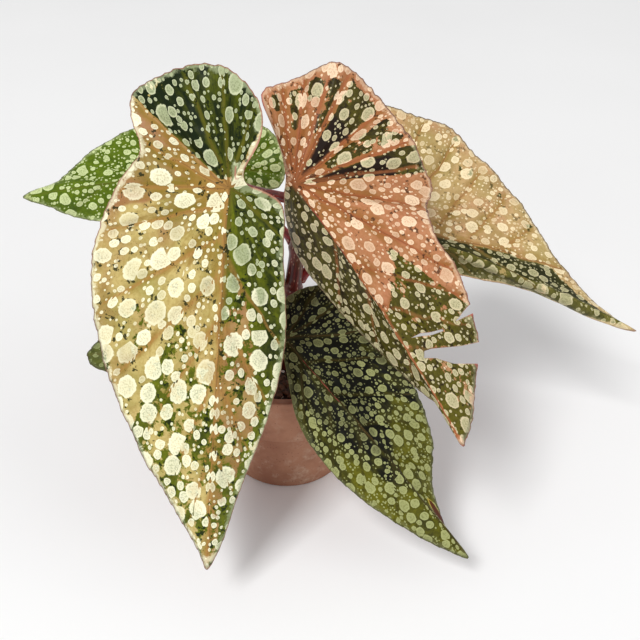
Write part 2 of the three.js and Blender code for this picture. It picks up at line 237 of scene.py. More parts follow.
# Each stalk: the height of its joint on the cane, the points it passes, where it ends measured from the
# blade's base in the blade's own axes, and its radii.
STALKS = {
    "front_left": (138, [(2, -14, 149), (-10, -32, 162)], (-1, 1, -2), (2.4, 1.8)),
    "front_right": (128, [(8, -12, 143), (7, -24, 154)], (-2, 3, -3), (2.4, 1.8)),
    "right": (96, [(15, 7, 106), (29, 10, 118)], (-2, 2, -2), (2.2, 1.7)),
    "lower_right": (70, [(1, -16, 80), (1, -30, 90)], (-1, 1, -2), (2.2, 1.7)),
    "back_left": (116, [(-3, 14, 121), (-14, 25, 131)], (-1, 2, -3), (2, 1.6)),
    "low_left": (60, [(-12, -6, 68), (-25, -14, 74)], (-2, 2, -2), (1.6, 1.2)),
}

# Each stipule: the height of its joint on the cane, and the bearing that it points to.
STIPULES = [(96, 200), (116, 20), (128, 150), (138, 330)]
STIPULE_LENGTH = 11
STIPULE_THICKNESS = 0.4
STIPULE_STANDOFF = 1.0
STIPULE_MARGIN = [
    (-1, 0, 0), (1, -3, 1), (5, -3.5, 1.2), (9, -1.5, 0.6), (11, 0, 0), (9, 1.5, 0.6), (5, 3.5, 1.2),
    (1, 3, 1),
]

YOUNG_LEAF_RADIUS = 2.7

# The pot's radius at its foot. The rest of its size comes from the frame.
POT_FOOT = 28
POT_WALL = 4
POT_FLOOR = 5
POT_EDGE_ROUND = 1.1
RIM_BAND_HEIGHT = 27
# How far inside the line of the flare the wall stops under the rim band, and the band begins.
RIM_BAND_STEP = (2, 0.2)
DRAIN_HOLES = 3
DRAIN_RADIUS = 4
DRAIN_REACH = 15

MIX_FOOT = 23.9
MIX_MOUND = 2
MOUND_STEPS = 24

# The camera looks down on the plant from the front. Metres.
CAMERA_TARGET = Vector((0.016, 0, 0.078))
CAMERA_DISTANCE = 0.49
CAMERA_ELEVATION = math.radians(35)
CAMERA_LENS = 60
CAMERA_SENSOR = 36

FLOOR_SIZE = 8
SKY_STRENGTH = 0.5
LIGHT_TARGET = Vector((0.01, -0.04, 0.1))
# Each light: its name, place, size and power.
LIGHTS = [("key", (-1.1, -1.9, 2.9), 1.0, 82), ("fill", (2.2, -1.2, 1.7), 2.0, 18)]


def tone(red, green, blue):
    """A screen colour, 0 to 255, as the linear colour that a shader takes."""
    shares = [channel / 255 for channel in (red, green, blue)]
    linear = [c / 12.92 if c <= 0.04045 else ((c + 0.055) / 1.055) ** 2.4 for c in shares]
    return (*linear, 1.0)


# ---------------------------------------------------------------- shader building


class Sketch:
    """Adds nodes to one node tree, with sockets or plain values as inputs."""

    def __init__(self, tree):
        self.tree = tree

    def node(self, kind, **settings):
        made = self.tree.nodes.new(kind)
        for name, value in settings.items():
            setattr(made, name, value)
        return made

    def put(self, value, socket):
        if isinstance(value, bpy.types.NodeSocket):
            self.tree.links.new(value, socket)
        else:
            socket.default_value = value

    def math(self, operation, first, second=0.0):
        made = self.node("ShaderNodeMath", operation=operation)
        self.put(first, made.inputs[0])
        self.put(second, made.inputs[1])
        return made.outputs[0]

    def plus(self, first, second):
        return self.math("ADD", first, second)

    def minus(self, first, second):
        return self.math("SUBTRACT", first, second)

    def times(self, first, second):
        return self.math("MULTIPLY", first, second)

    def sway(self, pattern, amount):
        """A pattern that runs from 0 to 1, made to swing about 0."""
        return self.times(self.minus(pattern, 0.5), amount)

    def vectors(self, operation, first, second=(0, 0, 0)):
        """Vector arithmetic; the result is a number for lengths and dot products."""
        made = self.node("ShaderNodeVectorMath", operation=operation)
        self.put(first, made.inputs[0])
        self.put(second, made.inputs[1])
        return made.outputs["Value" if operation in ("DOT_PRODUCT", "LENGTH") else "Vector"]

    def ramp(self, value, low, high, start=0.0, end=1.0):
        """Goes smoothly from start to end as value goes from low to high."""
        made = self.node("ShaderNodeMapRange", interpolation_type="SMOOTHSTEP")
        for socket, given in zip(made.inputs, (value, low, high, start, end)):
            self.put(given, socket)
        return made.outputs[0]

    def mix(self, share, first, second):
        """The first colour where share is 0 and the second where it is 1."""
        made = self.node("ShaderNodeMix", data_type="RGBA", blend_type="MIX")
        self.put(share, made.inputs[0])
        self.put(first, made.inputs[6])
        self.put(second, made.inputs[7])
        return made.outputs[2]

    def attribute(self, name):
        return self.node("ShaderNodeAttribute", attribute_name=name).outputs["Fac"]

    def flat_map(self):
        """The piece's own flattened places, in metres."""
        return self.node("ShaderNodeUVMap", uv_map="flat").outputs[0]

    def object_place(self):
        return self.node("ShaderNodeTexCoord").outputs["Object"]

    def noise(self, place, scale, detail=2.0, roughness=0.5):
        made = self.node("ShaderNodeTexNoise", noise_dimensions="3D")
        self.put(place, made.inputs["Vector"])
        self.put(scale, made.inputs["Scale"])
        made.inputs["Detail"].default_value = detail
        made.inputs["Roughness"].default_value = roughness
        return made.outputs["Fac"]

    def cells(self, place, scale, dimensions="2D", randomness=1.0):
        made = self.node("ShaderNodeTexVoronoi", voronoi_dimensions=dimensions)
        self.put(place, made.inputs["Vector"])
        self.put(scale, made.inputs["Scale"])
        made.inputs["Randomness"].default_value = randomness
        return made.outputs

    def vector(self, x, y, z=0.0):
        made = self.node("ShaderNodeCombineXYZ")
        for socket, value in zip(made.inputs, (x, y, z)):
            self.put(value, socket)
        return made.outputs[0]

    def parts(self, vector):
        made = self.node("ShaderNodeSeparateXYZ")
        self.put(vector, made.inputs[0])
        return made.outputs

    def effect(self, tree):
        return self.node("ShaderNodeGroup", node_tree=tree)


SOCKET_KINDS = {"colour": "NodeSocketColor", "value": "NodeSocketFloat", "vector": "NodeSocketVector"}
# Every finish puts out these, and a material feeds them to its shader.
FINISH_OUTPUTS = [("Color", "colour"), ("Roughness", "value"), ("Height", "value")]


def new_effect(name, inputs, outputs):
    """A shader node group with (name, kind, default) inputs and (name, kind) outputs."""
    tree = bpy.data.node_groups.new(name, "ShaderNodeTree")
    for label, kind, default in inputs:
        socket = tree.interface.new_socket(label, in_out="INPUT", socket_type=SOCKET_KINDS[kind])
        if default is not None:
            socket.default_value = default
    for label, kind in outputs:
        tree.interface.new_socket(label, in_out="OUTPUT", socket_type=SOCKET_KINDS[kind])
    sketch = Sketch(tree)
    return sketch, sketch.node("NodeGroupInput").outputs, sketch.node("NodeGroupOutput").inputs


def colour_inputs(names):
    return [(name, "colour", (0.5, 0.5, 0.5, 1)) for name in names]


# ---------------------------------------------------------------- the skin of the blades

SKIN_COLOURS = (
    "Cream", "Blush", "Gold", "Light Green", "Deep Green", "Pale Spot", "Green Spot", "Pale Vein",
    "Green Vein", "Rim", "Underside",
)
VEIN_LINE = tone(86, 58, 30)
PEPPER = tone(86, 62, 30)
SCORCH_RING = tone(170, 150, 60)
SCORCHED = tone(84, 40, 14)
UNDER_SPOT = tone(190, 120, 96)
UNDER_SHADE = tone(70, 22, 20)
UNDER_VEIN = tone(178, 92, 78)

# Cells per metre, smallest and largest radius in cells, and how many of the cells hold a spot.
BIG_SPOTS = (96, 0.15, 0.37, 0.85)
MEDIUM_SPOTS = (185, 0.15, 0.35, 0.85)
SMALL_SPOTS = (420, 0.14, 0.3, 0.65)
# Added to a spot's share, which is 1 at its outline, this takes the spot away.
NO_SPOT = 9.0


def spots_effect():
    """Oval spots of varied size, longer along the way out from the base. Share is 1 at a spot's outline."""
    sketch, given, out = new_effect(
        "blade_spots",
        [("Place", "vector", None), ("Shift", "vector", None), ("Cells", "value", 100.0),
         ("Smallest", "value", 0.1), ("Largest", "value", 0.4), ("Presence", "value", 0.8)],
        [("Share", "value"), ("Middle", "vector"), ("Tint", "value")],
    )
    shifted = sketch.vectors("ADD", given["Place"], given["Shift"])
    cells = sketch.cells(shifted, given["Cells"], randomness=0.8)
    chance, size, tint = sketch.parts(cells["Color"])
    middle = sketch.vectors("SUBTRACT", cells["Position"], given["Shift"])
    offset = sketch.vectors("SUBTRACT", given["Place"], middle)
    along = sketch.vectors("DOT_PRODUCT", offset, sketch.vectors("NORMALIZE", middle))
    square = sketch.vectors("DOT_PRODUCT", offset, offset)
    oval = sketch.minus(sketch.times(square, 1.3), sketch.times(sketch.times(along, along), 0.6))
    distance = sketch.times(sketch.math("SQRT", oval), given["Cells"])
    spread = sketch.minus(given["Largest"], given["Smallest"])
    radius = sketch.plus(given["Smallest"], sketch.times(spread, size))
    share = sketch.math("DIVIDE", distance, radius)
    absent = sketch.math("GREATER_THAN", chance, given["Presence"])
    sketch.put(sketch.plus(share, sketch.times(absent, NO_SPOT)), out["Share"])
    sketch.put(middle, out["Middle"])
    sketch.put(tint, out["Tint"])
    return sketch.tree


class SkinPatterns:
    """What every layer of a blade's skin reads: places on the flattened blade, and clouds of five sizes."""

    def __init__(self, sketch, shift):
        self.flat = sketch.flat_map()
        self.vein = sketch.attribute("vein")
        self.edge = sketch.attribute("edge")
        self.reach = sketch.vectors("LENGTH", self.flat)
        self.place = sketch.vectors("ADD", self.flat, shift)
        along, across, _ = sketch.parts(self.flat)
        angle = sketch.math("ARCTAN2", across, along)
        fanned = sketch.vector(sketch.times(angle, 10), sketch.times(self.reach, 70))
        self.streaks = sketch.noise(fanned, 1.0, detail=4, roughness=0.65)
        self.clouds = sketch.noise(self.place, 70, detail=3, roughness=0.55)
        self.blotches = sketch.noise(self.place, 260, detail=4, roughness=0.7)
        self.grain = sketch.noise(self.place, 620, detail=3, roughness=0.6)
        self.fine = sketch.noise(self.place, 1500, detail=2)


def pale_tissue(sketch, given, look):
    """Cream to blush, with gold along the veins and near the base, and a breath of green."""
    pinkness = sketch.plus(sketch.attribute("blush"), sketch.sway(look.clouds, 1.6))
    pale = sketch.mix(sketch.ramp(pinkness, 0, 1), given["Cream"], given["Blush"])
    golden = sketch.plus(sketch.ramp(look.vein, 1.0, 7.0, 0.42, 0.0), sketch.sway(look.streaks, 1.5))
    golden = sketch.plus(golden, sketch.ramp(look.reach, 0.006, 0.05, 0.35, 0.0))
    pale = sketch.mix(sketch.ramp(golden, 0.1, 0.6, 0.0, 0.85), pale, given["Gold"])
    breath = sketch.ramp(sketch.noise(look.place, 48, detail=3), 0.42, 0.62)
    return sketch.mix(sketch.times(breath, given["Greening"]), pale, given["Light Green"])


def green_share(sketch, look):
    """1 in green tissue and 0 in pale, with crisp, streaky edges and flecks of each in the other."""
    level = sketch.attribute("green")
    for pattern, amount in ((look.streaks, 1.6), (look.clouds, 0.9), (look.blotches, 1.9)):
        level = sketch.plus(level, sketch.sway(pattern, amount))
    return sketch.ramp(level, -0.03, 0.06)


def tissue(sketch, given, look, green, pale):
    depth = sketch.plus(sketch.attribute("deep"), sketch.sway(look.streaks, 1.8))
    leafy = sketch.mix(sketch.ramp(depth, 0, 1), given["Light Green"], given["Deep Green"])
    colour = sketch.mix(green, pale, leafy)
    darker = sketch.mix(green, given["Gold"], given["Deep Green"])
    return sketch.mix(sketch.ramp(look.grain, 0.4, 0.62, 0.0, 0.3), colour, darker)


def with_veins(sketch, given, look, green, colour):
    """Adds a soft band along each vein, and a fine darker line along its middle."""
    blurred = sketch.plus(look.vein, sketch.times(look.blotches, 1.6))
    band = sketch.ramp(blurred, 0.9, 2.6, 0.75, 0.0)
    pinker = sketch.ramp(sketch.attribute("blush"), 0.3, 0.8, 0.0, 0.8)
    green_vein = sketch.mix(pinker, given["Green Vein"], given["Pale Vein"])
    colour = sketch.mix(band, colour, sketch.mix(green, given["Pale Vein"], green_vein))
    line = sketch.ramp(look.vein, 0.1, 0.42, 0.4, 0.0)
    return sketch.mix(line, colour, VEIN_LINE), band, line


def with_freckles(sketch, given, look, green, colour):
    """Adds flecks of dark green in loose swarms, and fine brown pepper on the pale tissue."""
    swarm = sketch.ramp(sketch.noise(look.place, 130, detail=2), 0.38, 0.62, 0.0, 0.11)
    fleck = sketch.plus(look.blotches, sketch.sway(look.grain, 0.5))
    fleck = sketch.minus(fleck, sketch.minus(0.69, swarm))
    fleck = sketch.times(sketch.ramp(fleck, 0.0, 0.02, 0.0, 0.9), given["Freckles"])
    colour = sketch.mix(fleck, colour, given["Deep Green"])
    pepper = sketch.times(sketch.ramp(look.fine, 0.62, 0.68, 0.0, 0.7), sketch.ramp(look.clouds, 0.44, 0.58))
    on_pale = sketch.times(given["Freckles"], sketch.minus(1.0, green))
    return sketch.mix(sketch.times(pepper, on_pale), colour, PEPPER)


def spot_layer(sketch, spots, given, place, layer):
    cells, smallest, largest, presence = layer
    made = sketch.effect(spots)
    sketch.put(place, made.inputs["Place"])
    sketch.put(given["Shift"], made.inputs["Shift"])
    sketch.put(sketch.times(given["Spot Scale"], cells), made.inputs["Cells"])
    swelling = sketch.plus(1.0, sketch.times(sketch.attribute("bright"), 0.14))
    size = sketch.times(given["Spot Size"], swelling)
    sketch.put(sketch.times(size, smallest), made.inputs["Smallest"])
    sketch.put(sketch.times(size, largest), made.inputs["Largest"])
    sketch.put(sketch.times(given["Spot Presence"], presence), made.inputs["Presence"])
    return made.outputs


def spot_share(sketch, spots, given, look):
    """Three sizes of spot. The smaller ones keep off the larger, and all of them shrink at the veins."""
    big = spot_layer(sketch, spots, given, look.flat, BIG_SPOTS)
    medium = spot_layer(sketch, spots, given, look.flat, MEDIUM_SPOTS)
    small = spot_layer(sketch, spots, given, look.flat, SMALL_SPOTS)
    big_by_medium = spot_layer(sketch, spots, given, medium["Middle"], BIG_SPOTS)
    big_by_small = spot_layer(sketch, spots, given, small["Middle"], BIG_SPOTS)
    medium_by_small = spot_layer(sketch, spots, given, small["Middle"], MEDIUM_SPOTS)
    crowded = sketch.math("LESS_THAN", big_by_medium["Share"], 1.5)
    medium_share = sketch.plus(medium["Share"], sketch.times(crowded, NO_SPOT))
    nearest = sketch.math("MINIMUM", big_by_small["Share"], sketch.minus(medium_by_small["Share"], 0.2))
    crowded = sketch.math("LESS_THAN", nearest, 1.3)
    small_share = sketch.plus(small["Share"], sketch.times(crowded, NO_SPOT))
    share = sketch.math("MINIMUM", big["Share"], sketch.math("MINIMUM", medium_share, small_share))
    share = sketch.plus(share, sketch.ramp(look.vein, 0.1, 1.1, 0.6, 0.0))
    share = sketch.plus(share, sketch.sway(look.grain, 0.5))
    tint = sketch.mix(sketch.math("LESS_THAN", big["Share"], 1.1), medium["Tint"], big["Tint"])
    return share, tint


def with_spots(sketch, given, look, green, pale, colour, share, tint, spotted):
    """Adds the spots, each a little darker in its middle and bright round its outline."""
    pale_spot = sketch.mix(sketch.ramp(tint, 0.1, 0.9, 0.0, 0.5), given["Pale Spot"], pale)
    brightness = sketch.ramp(sketch.attribute("bright"), 0, 1, 0.0, 0.85)
    green_spot = sketch.mix(brightness, given["Green Spot"], given["Pale Spot"])
    spot = sketch.mix(sketch.times(green, 0.92), pale_spot, green_spot)
    speckled = sketch.ramp(look.fine, 0.46, 0.6, 0.08, 0.42)
    middle = sketch.ramp(share, 0.55, 0.92, 1.0, 0.0)
    spot = sketch.mix(sketch.times(speckled, middle), spot, colour)
    outline = sketch.times(sketch.ramp(share, 0.7, 0.88, 0.0, 0.3), spotted)
    spot = sketch.mix(outline, spot, given["Pale Spot"])
    return sketch.mix(sketch.times(spotted, 0.96), colour, spot)


def with_margin(sketch, given, look, green, colour):
    """Frosts the margin paler, with a thin coloured rim, and scorches it where the blade is burnt."""
    frost = sketch.plus(look.edge, sketch.sway(look.blotches, 11))
    frost = sketch.times(sketch.ramp(frost, 0.6, 2.6, 1.0, 0.0), given["Frosting"])
    colour = sketch.mix(frost, colour, sketch.mix(green, given["Pale Spot"], given["Green Spot"]))
    rim = sketch.ramp(sketch.plus(look.edge, sketch.times(look.grain, 0.5)), 0.35, 0.85, 0.8, 0.0)
    colour = sketch.mix(rim, colour, given["Rim"])
    burnt = sketch.plus(sketch.attribute("scorch"), sketch.minus(look.clouds, 0.5))
    colour = sketch.mix(sketch.ramp(burnt, 0.25, 0.45), colour, SCORCH_RING)
    return sketch.mix(sketch.ramp(burnt, 0.5, 0.62), colour, SCORCHED)


def underside(sketch, given, green, band, spotted):
    """Flushed red, with the spots showing through faintly and paler veins."""
    flushed = sketch.mix(sketch.times(spotted, 0.3), given["Underside"], UNDER_SPOT)
    flushed = sketch.mix(sketch.times(green, 0.35), flushed, UNDER_SHADE)
    return sketch.mix(band, flushed, UNDER_VEIN)


def skin_effect(spots):
    """The skin of a blade: pale and green tissue, veins, freckles, spots, rim and underside."""
    sketch, given, out = new_effect(
        "blade_skin",
        colour_inputs(SKIN_COLOURS)
        + [("Shift", "vector", None), ("Spot Size", "value", 1.0), ("Spot Scale", "value", 1.0),
           ("Spot Presence", "value", 0.9), ("Freckles", "value", 0.5), ("Frosting", "value", 0.5),
           ("Greening", "value", 0.3)],
        FINISH_OUTPUTS,
    )
    look = SkinPatterns(sketch, given["Shift"])
    green = green_share(sketch, look)
    pale = pale_tissue(sketch, given, look)
    colour = tissue(sketch, given, look, green, pale)
    colour, band, line = with_veins(sketch, given, look, green, colour)
    colour = with_freckles(sketch, given, look, green, colour)
    share, tint = spot_share(sketch, spots, given, look)
    spotted = sketch.ramp(share, 0.92, 1.03, 1.0, 0.0)
    colour = with_spots(sketch, given, look, green, pale, colour, share, tint, spotted)
    colour = with_margin(sketch, given, look, green, colour)
    under = sketch.attribute("under")
    sketch.put(sketch.mix(under, colour, underside(sketch, given, green, band, spotted)), out["Color"])

    rough = sketch.plus(0.36, sketch.times(look.grain, 0.2))
    rough = sketch.minus(rough, sketch.times(spotted, 0.06))
    sketch.put(sketch.plus(rough, sketch.times(under, 0.12)), out["Roughness"])
    height = sketch.plus(sketch.times(look.grain, 0.5), sketch.times(spotted, 0.35))
    sketch.put(sketch.minus(height, sketch.times(line, 0.8)), out["Height"])
    return sketch.tree


# ---------------------------------------------------------------- the other finishes

WART = tone(206, 168, 140)
CLAY = (tone(150, 100, 76), tone(178, 128, 100))
CLAY_BLOOM = tone(204, 176, 152)
CLAY_SPECK = tone(96, 62, 48)
FLOOR_TONES = (tone(240, 240, 240), tone(246, 246, 246))


def stem_effect():
    """Lengthwise streaks, pale clouds and small pale warts, for the cane, the stalks and the young leaf."""
    sketch, given, out = new_effect("stem_streaks", colour_inputs(("Red", "Dark", "Pale")), FINISH_OUTPUTS)
    flat = sketch.flat_map()
    around, along, _ = sketch.parts(flat)
    stretched = sketch.vector(sketch.times(around, 900), sketch.times(along, 90))
    streak = sketch.noise(stretched, 1.0, detail=3, roughness=0.6)
    cloud = sketch.noise(flat, 70, detail=2)
    colour = sketch.mix(sketch.ramp(streak, 0.38, 0.66), given["Dark"], given["Red"])
    colour = sketch.mix(sketch.ramp(cloud, 0.45, 0.75, 0.0, 0.5), colour, given["Pale"])
    warts = sketch.cells(sketch.vector(around, sketch.times(along, 0.45)), 620)
    chance, _, _ = sketch.parts(warts["Color"])
    chosen = sketch.math("LESS_THAN", chance, 0.4)
    wart = sketch.times(sketch.ramp(warts["Distance"], 0.1, 0.2, 1.0, 0.0), chosen)
    sketch.put(sketch.mix(sketch.times(wart, 0.7), colour, WART), out["Color"])
    sketch.put(sketch.ramp(streak, 0.2, 0.8, 0.3, 0.5), out["Roughness"])
    sketch.put(sketch.plus(sketch.times(streak, 0.5), wart), out["Height"])
    return sketch.tree


def crumb_effect():
    """Matte mottling, for the mix, the bark, the perlite and the papery stipules."""
    sketch, given, out = new_effect(
        "crumb_mottle", colour_inputs(("Dark", "Light")) + [("Scale", "value", 300.0)], FINISH_OUTPUTS)
    place = sketch.object_place()
    mottle = sketch.noise(place, given["Scale"], detail=4, roughness=0.65)
    grit = sketch.noise(place, sketch.times(given["Scale"], 5.0), detail=2)
    sketch.put(sketch.mix(sketch.ramp(mottle, 0.36, 0.66), given["Dark"], given["Light"]), out["Color"])
    sketch.put(sketch.ramp(mottle, 0.3, 0.7, 0.95, 0.75), out["Roughness"])
    sketch.put(sketch.plus(mottle, grit), out["Height"])
    return sketch.tree


def new_material(name):
    """A material with a Principled shader, and a sketch of its tree."""
    material = bpy.data.materials.new(name)
    material.use_nodes = True
    sketch = Sketch(material.node_tree)
    shader = material.node_tree.nodes["Principled BSDF"]
    return material, sketch, shader


def bump(sketch, shader, height, strength, distance):
    made = sketch.node("ShaderNodeBump")
    made.inputs["Strength"].default_value = strength
    made.inputs["Distance"].default_value = distance
    sketch.put(height, made.inputs["Height"])
    sketch.put(made.outputs[0], shader.inputs["Normal"])


def finish_material(name, finish, values, strength, distance):
    """A material that takes its colour, roughness and bumps from one finish, with its own values."""
    material, sketch, shader = new_material(name)
    made = sketch.effect(finish)
    for label, value in values.items():
        made.inputs[label].default_value = value
    sketch.put(made.outputs["Color"], shader.inputs["Base Color"])
    sketch.put(made.outputs["Roughness"], shader.inputs["Roughness"])
    bump(sketch, shader, made.outputs["Height"], strength, distance)
    return material, shader


def blade_material(name, skin, colours, **amounts):
    values = {label: tone(*colour) for label, colour in zip(SKIN_COLOURS, colours)}
    values.update({label.replace("_", " ").title(): amount for label, amount in amounts.items()})
    material, shader = finish_material(name, skin, values, 0.45, 0.0004)
    shader.inputs["Specular IOR Level"].default_value = 0.16
    return material


def stem_material(name, streaks, red, dark, pale):
    values = {"Red": tone(*red), "Dark": tone(*dark), "Pale": tone(*pale)}
    return finish_material(name, streaks, values, 0.4, 0.0004)[0]


def crumbly_material(name, mottle, dark, light, scale):
    values = {"Dark": tone(*dark), "Light": tone(*light), "Scale": scale}
    return finish_material(name, mottle, values, 0.6, 0.0006)[0]


def clay_material():
    """Dull fired clay with fine grit and paler bloom, more of it towards the foot."""
    material, sketch, shader = new_material("fired_clay")
    place = sketch.object_place()
    _, _, height = sketch.parts(place)
    cloud = sketch.noise(place, 38, detail=4, roughness=0.6)
    grit = sketch.noise(place, 900, detail=3, roughness=0.7)
    patches = sketch.noise(place, 90, detail=4, roughness=0.7)
    colour = sketch.mix(sketch.ramp(cloud, 0.35, 0.68), *CLAY)
    bloom = sketch.times(sketch.ramp(patches, 0.5, 0.72), sketch.ramp(height, 0.004, 0.05, 0.75, 0.3))
    colour = sketch.mix(bloom, colour, CLAY_BLOOM)
    speck = sketch.cells(place, 700, dimensions="3D")
    chance, _, _ = sketch.parts(speck["Color"])
    specks = sketch.times(sketch.ramp(speck["Distance"], 0.12, 0.26, 0.6, 0.0),
                          sketch.math("LESS_THAN", chance, 0.22))
    sketch.put(sketch.mix(specks, colour, CLAY_SPECK), shader.inputs["Base Color"])
    sketch.put(sketch.ramp(grit, 0.3, 0.7, 0.78, 0.92), shader.inputs["Roughness"])
    bump(sketch, shader, sketch.plus(sketch.times(grit, 0.6), cloud), 0.35, 0.0006)
    return material


# ---------------------------------------------------------------- shaping helpers


def start_fresh():
    if bpy.context.object and bpy.context.object.mode != "OBJECT":
        bpy.ops.object.mode_set(mode="OBJECT")
    bpy.ops.object.select_all(action="DESELECT")


def pick(piece):
    """Selects one piece alone and makes it the active one."""
    start_fresh()
    piece.select_set(True)
    bpy.context.view_layer.objects.active = piece


def closed_curve(points, steps):
    """A smooth closed curve through points: its places, and the point number at each."""
    before, here, after, beyond = (np.roll(points, shift, axis=0) for shift in (1, 0, -1, -2))
    gap_before = np.sqrt(np.linalg.norm(here - before, axis=1))[:, None]
    gap = np.sqrt(np.linalg.norm(after - here, axis=1))[:, None]
    gap_after = np.sqrt(np.linalg.norm(beyond - after, axis=1))[:, None]
    start = (here - before) / gap_before - (after - before) / (gap_before + gap) + (after - here) / gap
    end = (after - here) / gap - (beyond - here) / (gap + gap_after) + (beyond - after) / gap_after
    start, end = start * gap, end * gap
    places = []
    numbers = []
    for step in range(steps):
        t = step / steps
        places.append(here + start * t + (3 * (after - here) - 2 * start - end) * t**2
                      + (2 * (here - after) + start + end) * t**3)
        numbers.append(np.arange(len(points)) + t)
    return np.stack(places, 1).reshape(-1, 3), np.stack(numbers, 1).ravel()


def even_margin(points, spokes, corner):
    """The margin at the spokes, spaced by how far they walk and the area they sweep, with one spoke
    exactly on the numbered corner. Gives their places, point numbers and distances walked."""
    curve, numbers = closed_curve(np.array(points, float), 60)
    ahead = np.roll(curve, -1, axis=0)
    run = np.linalg.norm(ahead - curve, axis=1)
    swept = np.linalg.norm(np.cross(curve, ahead), axis=1)
    effort = np.concatenate([[0], np.cumsum(0.45 * run / run.sum() + 0.55 * swept / swept.sum())])
    walked = np.concatenate([[0], np.cumsum(run)])
    wanted = np.arange(spokes) / spokes
    at_corner = np.interp(corner, numbers, effort[:-1])
    wanted[np.argmin(np.abs(wanted - at_corner))] = at_corner
    closed = np.vstack([curve, curve[:1]])
    margin = np.stack([np.interp(wanted, effort, closed[:, axis]) for axis in range(3)], 1)
    return (margin, np.interp(wanted, effort, np.append(numbers, len(points))),
            np.interp(wanted, effort, walked))


def leaf_axes(base, tip, facing):
    """The matrix that carries a blade's own millimetres to where it hangs, in metres."""
    along = (Vector(tip) - Vector(base)).normalized()
    across = Vector(facing).cross(along).normalized()
    off = along.cross(across)
    turn = Matrix((along, across, off)).transposed().to_4x4()
    return Matrix.Translation(Vector(base) * MM) @ turn @ Matrix.Scale(MM, 4)


def ball_grid(name, spokes, rings):
    """A sphere to be reshaped, with each vertex's spoke and ring number. Ring 0 is its top."""
    start_fresh()
    bpy.ops.mesh.primitive_uv_sphere_add(segments=spokes, ring_count=rings, radius=1)
    ball = bpy.context.object
    ball.name = name
    places = np.empty(len(ball.data.vertices) * 3)
    ball.data.vertices.foreach_get("co", places)
    places = places.reshape(-1, 3)
    ring = np.rint(np.arccos(np.clip(places[:, 2], -1, 1)) / math.pi * rings).astype(int)
    spoke = np.rint(np.arctan2(places[:, 1], places[:, 0]) / TAU * spokes).astype(int) % spokes
    return ball, spoke, ring


def set_places(piece, places):
    piece.data.vertices.foreach_set("co", places.ravel())
    piece.data.update()


def set_field(piece, name, values):
    field = piece.data.attributes.new(name, "FLOAT", "POINT")
    field.data.foreach_set("value", np.asarray(values, np.float32))


def set_flat(piece, flat, spoke, seam_flat):
    """Stores the flattened place of each vertex as the UV map; the last strip closes on seam_flat."""
    corners = np.empty(len(piece.data.loops), int)
    piece.data.loops.foreach_get("vertex_index", corners)
    starts = np.empty(len(piece.data.polygons), int)
    sizes = np.empty(len(piece.data.polygons), int)
    piece.data.polygons.foreach_get("loop_start", starts)
    piece.data.polygons.foreach_get("loop_total", sizes)
    face = np.repeat(np.arange(len(starts)), sizes)
    last_strip = np.zeros(len(starts), bool)
    last_strip[face[spoke[corners] == spoke.max()]] = True
    first_strip = np.zeros(len(starts), bool)
    first_strip[face[spoke[corners] == 1]] = True
    wraps = last_strip[face] & ~first_strip[face] & (spoke[corners] == 0)
    places = np.where(wraps[:, None], seam_flat[corners], flat[corners])
    layer = piece.data.uv_layers[0]
    layer.name = "flat"
    layer.data.foreach_set("uv", places.astype(np.float32).ravel())


def smooth(piece):
    pick(piece)
    bpy.ops.object.shade_smooth()


def dress(piece, node, material):
    """Gives a finished piece its material and its place in the frame."""
    piece.data.materials.clear()
    piece.data.materials.append(material)
    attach(piece, "root")
    if node:
        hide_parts(node)


# ---------------------------------------------------------------- blades


def to_segment(points, start, end):
    """Distance of points from a segment, and how far along it each lies, from 0 to 1."""
    run = end - start
    share = np.clip(((points - start) @ run) / max(run @ run, 1e-9), 0, 1)
    return np.linalg.norm(points - start - share[..., None] * run, axis=-1), share


def average_neighbours(values, reach):
    """Values averaged with those of the spokes on either side, fading out over reach spokes."""
    shifts = range(-2 * reach, 2 * reach + 1)
    weights = [math.exp(-((shift / reach) ** 2)) for shift in shifts]
    total = sum(weight * np.roll(values, shift, axis=0) for shift, weight in zip(shifts, weights))
    return total / sum(weights)


